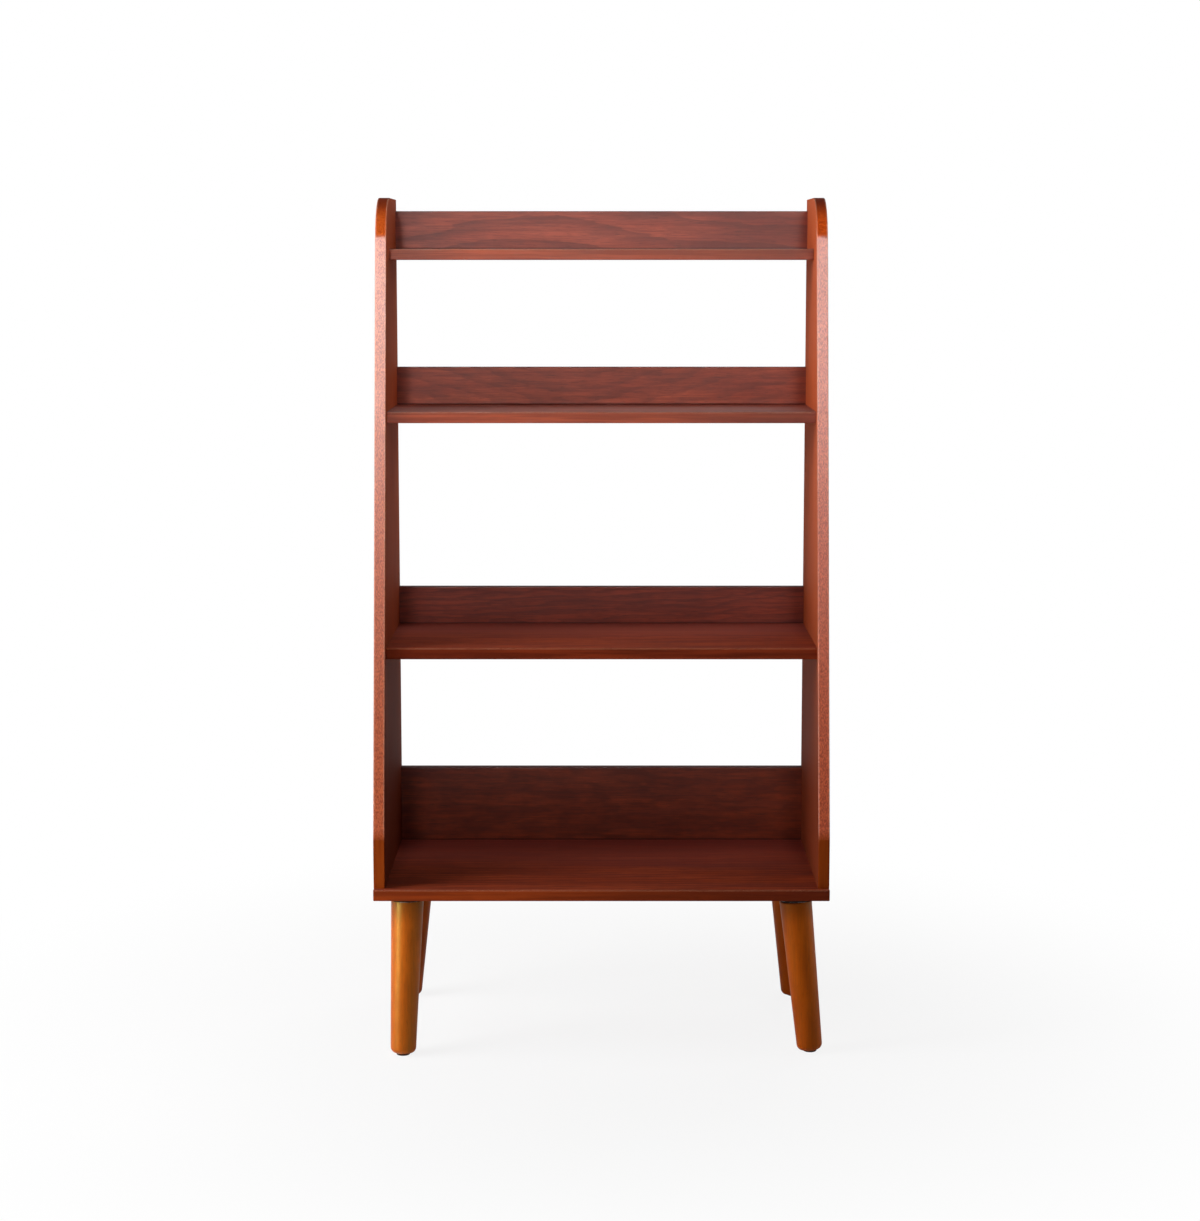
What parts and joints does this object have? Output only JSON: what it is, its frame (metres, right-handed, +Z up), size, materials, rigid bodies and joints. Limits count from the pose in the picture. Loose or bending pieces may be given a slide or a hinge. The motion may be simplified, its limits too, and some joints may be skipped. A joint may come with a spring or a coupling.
{
  "type": "bookcase",
  "caption": "Open bookcase: level shelves with low back rails between side panels that lean back to a rounded top, on a wide base board and splayed turned legs.",
  "frame": {"origin": "on the floor, under the middle of the base board", "axes": "+X to the right seen from the front, +Y from the front to the back, +Z up"},
  "size_m": [0.6, 0.3046, 1.13],
  "materials": {
    "walnut_veneer": "satin varnished reddish-brown veneer",
    "leg_wood": "satin varnished honey-coloured hardwood",
    "plate_steel": "black lacquered pressed steel",
    "fastener_steel": "bright zinc-plated steel",
    "cam_zinc": "die-cast zinc",
    "dowel_wood": "bare beech",
    "glide_plastic": "dark matt plastic"
  },
  "bodies": {
    "root": {"base_board": "walnut_veneer", "left_side_panel": "walnut_veneer", "right_side_panel": "walnut_veneer", "lower_shelf": "walnut_veneer", "middle_shelf": "walnut_veneer", "top_shelf": "walnut_veneer", "base_back_rail": "walnut_veneer", "lower_back_rail": "walnut_veneer", "middle_back_rail": "walnut_veneer", "top_back_rail": "walnut_veneer", "front_left_leg": "leg_wood", "front_right_leg": "leg_wood", "rear_left_leg": "leg_wood", "rear_right_leg": "leg_wood", "front_left_leg_plate": "plate_steel", "front_right_leg_plate": "plate_steel", "rear_left_leg_plate": "plate_steel", "rear_right_leg_plate": "plate_steel", "leg_plate_screws": "fastener_steel", "leg_hanger_bolts": "fastener_steel", "panel_foot_screws": "fastener_steel", "shelf_cam_bolts": "fastener_steel", "rail_cam_bolts": "fastener_steel", "shelf_cam_discs": "cam_zinc", "rail_cam_discs": "cam_zinc", "shelf_end_dowels": "dowel_wood", "rail_end_dowels": "dowel_wood", "rail_foot_dowels": "dowel_wood", "panel_foot_dowels": "dowel_wood", "foot_glides": "glide_plastic"}
  },
  "joints": []
}
